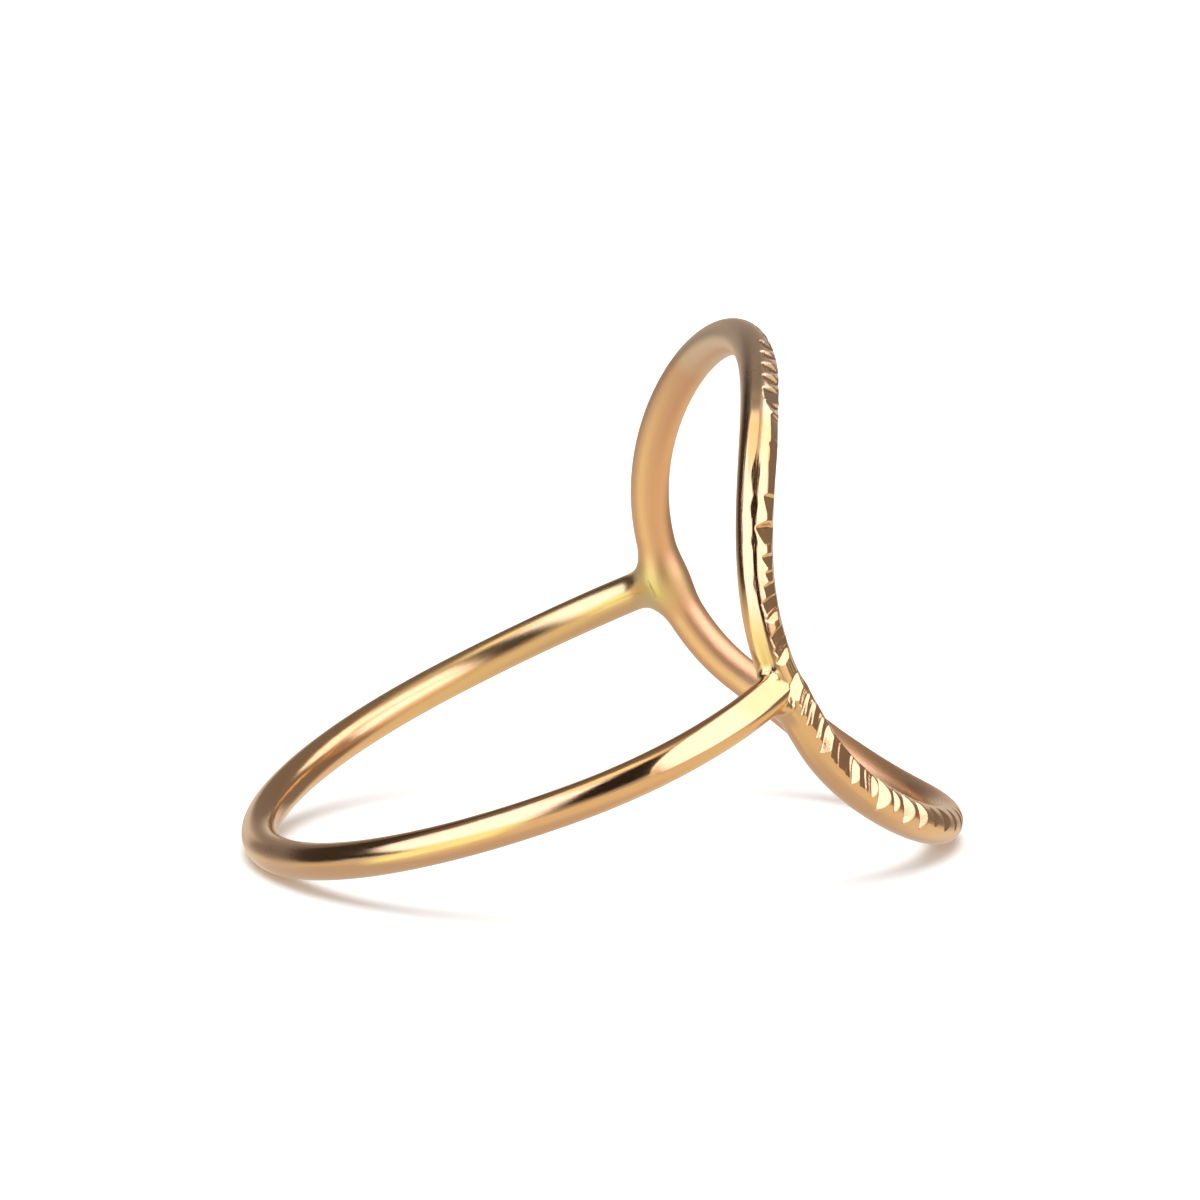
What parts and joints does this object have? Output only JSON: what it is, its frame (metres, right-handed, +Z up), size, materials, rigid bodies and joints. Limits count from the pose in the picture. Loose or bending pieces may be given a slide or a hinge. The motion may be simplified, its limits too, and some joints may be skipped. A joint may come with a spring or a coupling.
{
  "type": "halo ring",
  "caption": "Finger ring: a plain round wire band soldered to an open wire circle with a hammered, notched face, bent over the finger. It lies on its side.",
  "frame": {"origin": "on the surface that the ring lies on, under the middle of its bounding box", "axes": "+Z up from the surface, +X horizontal towards the open circle at the front, +Y across the finger hole towards the higher solder joint"},
  "size_m": [0.018, 0.0189, 0.0131],
  "materials": {
    "gold": "polished warm gold, with a hammered and chisel-cut front face on the open circle"
  },
  "bodies": {
    "root": {"ring": "gold"}
  },
  "joints": []
}
